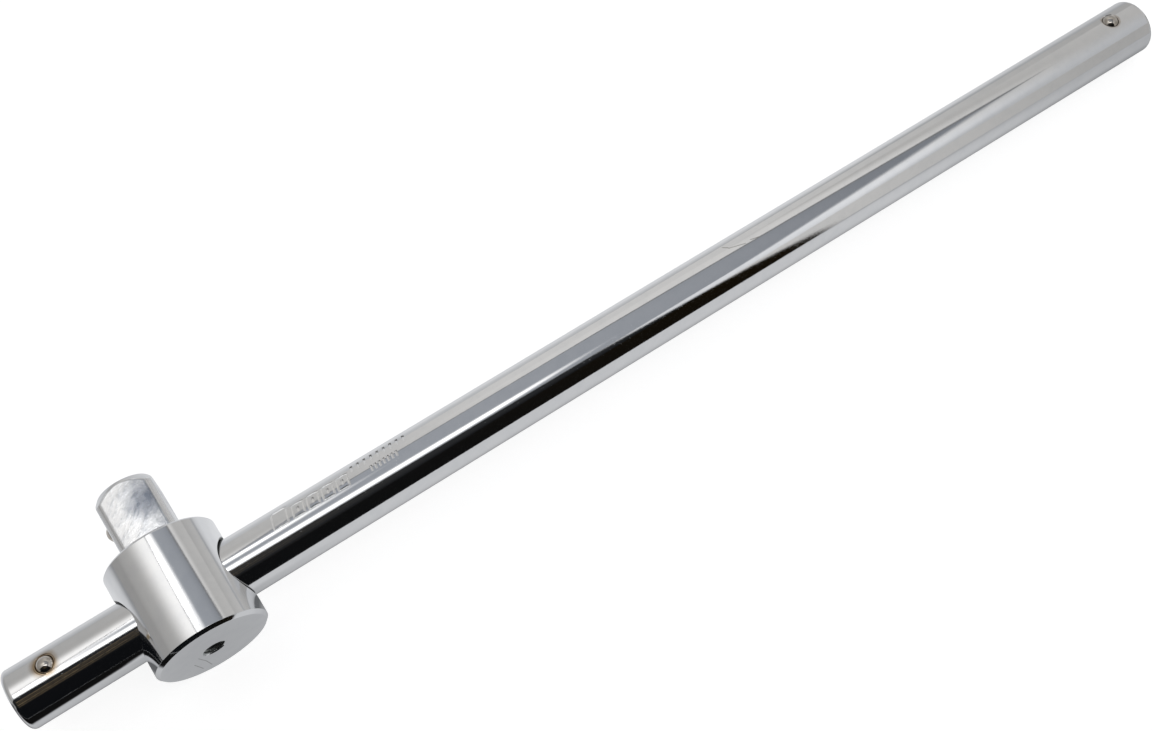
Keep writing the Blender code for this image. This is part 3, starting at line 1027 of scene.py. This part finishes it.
balls = {prefix: steel_ball(prefix + "_steel_ball", prefix + "_ball",
                            -joint_axis(prefix + "_ball_press"))
         for prefix in ("short_end", "long_end", "drive", "friction")}
print("balls:", sorted(balls))

# %% [markdown]
# The springs are wound by Geometry Nodes: a line is bent into a helix whose pitch is tight at both
# ends, as on a spring with closed ends, and swept with the wire's section.

# %% Springs with Geometry Nodes
SPRING_WIRE = 0.7 * MM
SPRING_TURNS = 4.0


def spring_tree():
    """A coil spring with closed ends along +Z, from the origin."""
    tree, given = geometry_tree("coil_spring", {
        "Wire": 0.0007, "Coil Radius": 0.0023, "Length": 0.005, "Turns": 4.0})
    line = add(tree, "GeometryNodeCurvePrimitiveLine")
    fine = add(tree, "GeometryNodeResampleCurve", {"Curve": line.outputs[0], "Count": 161},
               mode="COUNT")
    along = add(tree, "GeometryNodeSplineParameter").outputs["Factor"]
    angle = times(tree, times(tree, along, given["Turns"]), math.tau)
    tight = times(tree, times(tree, given["Wire"], 1.04), given["Turns"])
    spare = minus(tree, minus(tree, given["Length"], given["Wire"]), tight)
    rise = times(tree, spare, remap(tree, along, 0.15, 0.85))
    low = times(tree, given["Wire"], 0.5)
    height = plus(tree, plus(tree, times(tree, along, tight), rise), low)
    place = add(tree, "ShaderNodeCombineXYZ", {
        "X": times(tree, maths(tree, "COSINE", angle), given["Coil Radius"]),
        "Y": times(tree, maths(tree, "SINE", angle), given["Coil Radius"]), "Z": height})
    helix = add(tree, "GeometryNodeSetPosition", {"Geometry": fine.outputs[0],
                                                  "Position": place.outputs[0]})
    wound = sweep_round(tree, helix.outputs[0], times(tree, given["Wire"], 0.5), 12)
    return hand_over(tree, wound, given["Material"])


SPRING_TREE = spring_tree()
springs = {}
for prefix in balls:
    outward = -joint_axis(prefix + "_ball_press")
    low, high = reach_along(prefix + "_spring", outward)
    middle = centre_of(prefix + "_ball")
    start = middle + outward * (low - middle.dot(outward))
    coil_radius = width_of(prefix + "_ball") / 2 - SPRING_WIRE
    mesh = run_nodes(prefix + "_coil", SPRING_TREE, {
        "Wire": SPRING_WIRE, "Coil Radius": coil_radius, "Length": high - low,
        "Turns": SPRING_TURNS, "Material": SPRING_STEEL["material"]})
    springs[prefix] = new_piece(prefix + "_coil", outward_facing(placed(mesh, start, outward)))

# %% [markdown]
# The set screw holds the head's inner parts in. It is a threaded plug, blackened rather than
# plated, with a hexagonal socket that has a small chamfer for the key.

# %% Set screw
THREAD_GAP = 0.12 * MM
SOCKET_DEPTH = 2.6 * MM
SOCKET_FLATS = 4.0 * MM


def set_screw():
    """Threaded plug with a hexagonal socket, mouth toward the base."""
    low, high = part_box("base_set_screw")
    length = high.y - low.y
    core = (high.x - low.x) / 2 - THREAD_GAP
    body = on_head_axis(threaded("set_screw", core, length, lead_in=0.6 * MM), low.y)
    across = SOCKET_FLATS / math.sqrt(3)
    bottom = low.y + SOCKET_DEPTH
    hexagon = turned("hex_socket", [(0, low.y - PAST), (across, low.y - PAST), (across, bottom),
                                    (0, bottom + 0.7 * MM)], 6)
    out, deep = low.y - 0.1 * MM, low.y + 0.25 * MM
    chamfer = turned("socket_chamfer", [(0, out), (across + 0.25 * MM, out),
                                        (across - 0.1 * MM, deep), (0, deep)], 48)
    piece = new_piece("set_screw", body)
    cut_away(piece, [on_head_axis(hexagon), on_head_axis(chamfer)])
    coat(piece, SCREW_STEEL)
    piece.data.set_sharp_from_angle(angle=SHARP_EDGE)
    return piece


screw = set_screw()

# %% [markdown]
# ## What rides on what
# The bar is the root. The head slides on it and carries the set screw and two springs. Each ball
# is a body of its own, because each can be pressed in.

# %% Ride and replace
for piece, body, node, slot in (
        (bar, "bar", "sliding_bar", "bar_chrome"),
        (head, "head", "drive_head", "head_chrome"),
        (screw, "head", "base_set_screw", "screw_steel")):
    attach(piece, body)
    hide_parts(node)
for prefix, piece in balls.items():
    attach(piece, prefix + "_detent")
    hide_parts(prefix + "_ball")
for prefix, piece in springs.items():
    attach(piece, "bar" if prefix in ("short_end", "long_end") else "head")
    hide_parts(prefix + "_spring")
print("pieces on bodies:", 3 + len(balls) + len(springs))

# %% [markdown]
# ## The studio
# Chrome shows its surroundings, so the studio is half of the picture. It is a white tent: a
# light ceiling panel with three bright streaks in it, pale walls, a dark opening on the camera's
# side and a pale bench. The ceiling and the opening are plain meshes that only reflections can
# see. The light of every sheet is a colour attribute worked out from a few named edges.

# %% Studio panels
CEILING = 0.78
PLATE_REFLECTS = 0.88


def linear(value):
    """Linear light of a display value from 0 to 255."""
    v = value / 255
    return v / 12.92 if v <= 0.04045 else ((v + 0.055) / 1.055) ** 2.4


def glow_material(name):
    """Emission that takes its colour from the attribute named light."""
    made = bpy.data.materials.new(name)
    made.use_nodes = True
    tree = made.node_tree
    tree.nodes.clear()
    colour = add(tree, "ShaderNodeAttribute", attribute_name="light")
    glow = add(tree, "ShaderNodeEmission", {"Color": colour.outputs["Color"]})
    end = add(tree, "ShaderNodeOutputMaterial")
    tree.links.new(glow.outputs[0], end.inputs["Surface"])
    return made


def only_reflected(sheet):
    """Keep a staged sheet out of the camera's sight and out of shadows."""
    sheet.visible_camera = False
    sheet.visible_shadow = False


def light_sheet(name, origin, across, along, u_steps, v_steps, colour_at, material):
    """Grid from origin along two vectors, whose light attribute comes from colour_at(x, y)."""
    columns, rows = len(u_steps), len(v_steps)
    u, v = (grid.ravel() for grid in np.meshgrid(u_steps, v_steps))
    points = np.array(origin) + np.outer(u, across) + np.outer(v, along)
    corners = [r * columns + c for r in range(rows - 1) for c in range(columns - 1)]
    faces = [(k, k + 1, k + columns + 1, k + columns) for k in corners]
    mesh = bpy.data.meshes.new(name)
    mesh.from_pydata((points + np.array(bar_axis)).tolist(), [], faces)
    light = mesh.color_attributes.new("light", "FLOAT_COLOR", "POINT")
    colours = np.column_stack([colour_at(points[:, 0], points[:, 1]), np.ones(len(u))])
    light.data.foreach_set("color", colours.ravel().astype(np.float32))
    mesh.materials.append(material)
    sheet = bpy.data.objects.new(name, mesh)
    bpy.context.collection.objects.link(sheet)
    print(name, "sheet:", len(faces), "faces")
    return sheet


def blend_over(base, colour, mask):
    """Colour laid over base where mask is 1."""
    return base * (1 - mask[:, None]) + np.array(colour) * mask[:, None]


def step_up(value, low, high):
    """Smooth step from 0 at low to 1 at high."""
    t = np.clip((value - low) / (high - low), 0, 1)
    return t * t * (3 - 2 * t)


def to_segment(x, y, a, b):
    """Distance from points to the segment from a to b."""
    dx, dy = b[0] - a[0], b[1] - a[1]
    t = np.clip(((x - a[0]) * dx + (y - a[1]) * dy) / (dx * dx + dy * dy), 0, 1)
    return np.hypot(x - a[0] - t * dx, y - a[1] - t * dy)


def inside(x, y, corners):
    """Signed distance to a polygon's outline, positive inside."""
    within = np.zeros(len(x), bool)
    nearest = np.full(len(x), 1e9)
    for a, b in zip(corners, corners[1:] + corners[:1]):
        crosses = ((a[1] > y) != (b[1] > y)) & (
            x < (b[0] - a[0]) * (y - a[1]) / (b[1] - a[1] + 1e-12) + a[0])
        within ^= crosses
        nearest = np.minimum(nearest, to_segment(x, y, a, b))
    return np.where(within, nearest, -nearest)


def gauss(x, y, place, spread):
    """Round or oval glow, 1 at its place."""
    return np.exp(-((x - place[0]) / spread[0])**2 - ((y - place[1]) / spread[1])**2)


def shade(value, warmth=0.0):
    """Light that looks like a display value in chrome; warmth is yellow, or blue below zero."""
    return np.array([linear(value + warmth), linear(value),
                     linear(value - 1.6 * warmth)]) / PLATE_REFLECTS


def shades(values, warmths):
    """Light for many display values; warmths is one number or one for each value."""
    return np.array([shade(v, w) for v, w in zip(values, np.broadcast_to(warmths, len(values)))])


# %% [markdown]
# The ceiling is one sheet with four things on it: cloth that gets lighter to the right, the lamp
# panel with its frame, the bright streaks of the lamps behind it, and the dark opening, where
# brown battens show. Each is a polygon or a line in metres, laid over what is there already.

# %% Ceiling
CLOTH_X = (-2.6, -1.57, -1.0, -0.5, -0.1, 0.15, 0.4, 0.75, 0.95, 1.2, 2.0)
CLOTH_LEVEL = (143, 155, 158, 158, 164, 180, 199, 197, 170, 173, 177)
PANEL = [(-0.26, 0.0), (-0.14, -0.10), (0.02, -0.205), (0.386, -0.41), (0.565, -0.44),
         (0.85, 0.15), (0.43, 0.65), (0.12, 0.80), (0.045, 0.60), (0.0, 0.45), (-0.12, 0.25)]
PANEL_X = (0.1, 0.4, 0.55, 0.7)
PANEL_LEVEL = (151, 146, 138, 122)
FRAMES = [((-0.26, 0.0), (-0.12, 0.25), 0.014), ((-0.12, 0.25), (0.0, 0.45), 0.016),
          ((0.0, 0.45), (0.12, 0.80), 0.020), ((0.12, 0.80), (0.43, 0.65), 0.040),
          ((0.43, 0.65), (0.85, 0.15), 0.052)]
FRAME_LEVEL = 104
STREAKS = [((-0.20, 0.0), (0.24, -0.175), 0.092, 0.045),
           ((-0.15, 0.27), (0.015, 0.285), 0.085, 0.055),
           ((-0.20, 0.02), (-0.17, 0.26), 0.055, 0.05)]
LAMP_LEVEL = 259
LAMP_HEART = 1.2
OPENING = [(-3.0, -0.065), (-0.26, -0.065), (-0.14, -0.105), (0.02, -0.21), (0.386, -0.41),
           (0.615, -0.8), (0.615, -1.2), (-3.0, -1.2)]
BATTENS = [(-0.25, 0.012, 105), (-0.34, 0.018, 74), (-0.44, 0.012, 118), (-0.56, 0.02, 80),
           (-0.82, 0.025, 60)]


def cloth_light(x, y):
    """Pale cloth, with the glow of a lamp behind it and a lighter patch to the right."""
    level = np.interp(x, CLOTH_X, CLOTH_LEVEL) + 82 * gauss(x, y, (-0.16, 0.28), (0.46, 0.29))
    level = level + 20 * gauss(x, y, (0.72, -0.42), (0.3, 0.35))
    return shades(level, np.interp(y, [-0.4, 0.2], [-1.5, 1.0]))


def panel_light(x, y):
    """Blue-grey panel with lamp streaks, whose hearts are brighter than white."""
    light = shades(np.interp(x, PANEL_X, PANEL_LEVEL), -3.5)
    for start, end, width, soft in STREAKS:
        away = to_segment(x, y, start, end)
        light = blend_over(light, shade(LAMP_LEVEL), 1 - step_up(away, width - soft, width + soft))
        heart = 1 - step_up(away, 0.1 * width, 0.55 * width)
        light = light + LAMP_HEART * shade(LAMP_LEVEL) * heart[:, None]
    return light


def opening_in_ceiling(x, y):
    """Dark cloth beyond the tent's edge, with brown battens across it."""
    dark = shades(np.interp(y, [-0.8, -0.6, -0.3], [20, 36, 44]), -1)
    dark = dark * np.interp(x, [-0.2, 0.0], [0.5, 1.0])[:, None]
    for line_y, width, value in BATTENS:
        line = gauss(x, y, (-0.26, line_y + 0.04 * np.sin(9 * x)), (0.24, width))
        dark = blend_over(dark, shade(value, 0.15 * value), line)
    return dark


def ceiling_light(x, y):
    """Light of the ceiling: cloth, the panel in its frame, and the dark opening."""
    soft = np.interp(x + 0.3 * y, [0.2, 0.6], [0.006, 0.05])
    mask = step_up(inside(x, y, PANEL), -soft, soft)[:, None]
    light = cloth_light(x, y) * (1 - mask) + panel_light(x, y) * mask
    for start, end, width in FRAMES:
        line = 1 - step_up(to_segment(x, y, start, end), 0.25 * width, width)
        light = blend_over(light, shade(FRAME_LEVEL, -1), 0.9 * line)
    mask = step_up(inside(x, y, OPENING), -0.014, 0.014)[:, None]
    return light * (1 - mask) + opening_in_ceiling(x, y) * mask


GLOW = glow_material("studio_glow")
only_reflected(light_sheet("ceiling", (0, 0, CEILING), (1, 0, 0), (0, 1, 0),
                           np.linspace(-2.6, 2.0, 461), np.linspace(-0.8, 1.4, 331),
                           ceiling_light, GLOW))

# %% [markdown]
# On the camera's side the tent is open from the bench up. What lies beyond is nearly black, and
# this is what gives the bar its dark band.

# %% Dark opening
OPENING_LEVEL = 13


def opening_light(x, y):
    """The dark room seen through the tent's opening, browner to the right."""
    warmth = np.interp(x, [-0.2, 0.2, 0.6], [-1.5, 0.0, 5.0])
    return shades(np.full(len(x), OPENING_LEVEL), warmth)


only_reflected(light_sheet("opening", (0, -0.8, floor_z), (1, 0, 0), (0, 0, CEILING - floor_z),
                           np.linspace(-3.0, 0.615, 19), [0, 1], opening_light, GLOW))

# %% [markdown]
# The bench is white to the eye. In reflections it is a little darker, most of all where the tool
# stands close over it, and the shade of the opening falls across its near left corner.

# %% Bench
BENCH_REACH = 6.0
BENCH_SHADE = [(-3.0, -0.030), (-0.075, -0.036), (-0.03, -0.052), (0.02, -0.20), (0.30, -0.50),
               (0.62, -0.8), (-3.0, -0.8)]
SHADE_LEVEL = 15
BENCH_Y = (-0.8, -0.2, -0.06, -0.03, -0.02, -0.013, -0.009, -0.006, 0.006, 0.010, 0.013, 0.017,
           0.022, 0.032, 0.046, 0.084, 0.15, 0.4)
BENCH_LEVEL = (175, 190, 190, 190, 187, 168, 148, 100, 100, 150, 178, 208,
               214, 205, 205, 190, 182, 179)
BENCH_X = (-1.0, -0.4, -0.12, -0.06, 0.0, 0.3, 0.35, 0.4)
BENCH_CHANGE = (-42, -36, -12, -8, 0, 0, -10, -22)


def bench_light(x, y):
    """Light of the bench as the chrome sees it."""
    level = np.interp(y, BENCH_Y, BENCH_LEVEL) + np.interp(x, BENCH_X, BENCH_CHANGE)
    light = shades(level - 28 * gauss(x, y, (0, -0.026), (0.035, 0.018)), -1.2)
    shaded = step_up(inside(x, y, BENCH_SHADE), -0.007, 0.007)
    return blend_over(light, shade(SHADE_LEVEL), shaded)


def bench_material():
    """White to the eye, with soft shadows; its own light in reflections."""
    made = bpy.data.materials.new("bench")
    made.use_nodes = True
    tree = made.node_tree
    tree.nodes.clear()
    seen = add(tree, "ShaderNodeLightPath").outputs["Is Camera Ray"]
    cloth = add(tree, "ShaderNodeBsdfDiffuse", {"Color": (0.45, 0.45, 0.45, 1)})
    glow = add(tree, "ShaderNodeEmission", {"Color": (1, 1, 1, 1), "Strength": 0.86})
    visible = add(tree, "ShaderNodeAddShader", {0: cloth.outputs[0], 1: glow.outputs[0]})
    light = add(tree, "ShaderNodeAttribute", attribute_name="light")
    mirrored = add(tree, "ShaderNodeEmission", {"Color": light.outputs["Color"]})
    both = add(tree, "ShaderNodeMixShader", {0: seen, 1: mirrored.outputs[0],
                                             2: visible.outputs[0]})
    end = add(tree, "ShaderNodeOutputMaterial")
    tree.links.new(both.outputs[0], end.inputs["Surface"])
    return made


slope = (bar_low.z - head_low.z) / bar_high.x       # the tool rests on its head and its far end
steps = np.linspace(-1, 1, 321)
light_sheet("bench", (0, 0, floor_z), (BENCH_REACH, 0, BENCH_REACH * slope), (0, BENCH_REACH, 0),
            steps[::2]**3, steps**3, bench_light, bench_material())

# %% [markdown]
# What no sheet covers is the tent's cloth: paler to the right, darker at both ends. A ramp along
# the bar's direction gives it, and the eye sees plain white behind the bench.

# %% Surroundings
WALL_STOPS = ((-1.0, 141), (-0.8, 143), (-0.13, 163), (0.02, 176), (0.2, 195), (0.38, 190),
              (0.52, 176), (0.61, 159), (0.85, 156), (0.96, 178))


def surroundings():
    """White to the eye; pale cloth in reflections, darker to the far left and right."""
    world = bpy.data.worlds.new("surroundings")
    world.use_nodes = True
    tree = world.node_tree
    tree.nodes.clear()
    seen = add(tree, "ShaderNodeLightPath").outputs["Is Camera Ray"]
    direction = add(tree, "ShaderNodeTexCoord").outputs["Generated"]
    x = xyz(tree, direction)[0]
    ramp = add(tree, "ShaderNodeValToRGB", {"Fac": maths(tree, "MULTIPLY_ADD", x, 0.5, 0.5)})
    stops = ramp.color_ramp.elements
    stops.remove(stops[0])
    for index, (place, value) in enumerate(WALL_STOPS):
        where = 0.5 * place + 0.5
        stop = stops[0] if index == 0 else stops.new(where)
        stop.position = where
        stop.color = (*shade(value, 0.8), 1)
    cloth = add(tree, "ShaderNodeBackground", {"Color": ramp.outputs["Color"]})
    white = add(tree, "ShaderNodeBackground", {"Color": (1, 1, 1, 1)})
    both = add(tree, "ShaderNodeMixShader", {0: seen, 1: cloth.outputs[0], 2: white.outputs[0]})
    end = add(tree, "ShaderNodeOutputWorld")
    tree.links.new(both.outputs[0], end.inputs["Surface"])
    bpy.context.scene.world = world


surroundings()
print("walls:", len(WALL_STOPS), "stops")
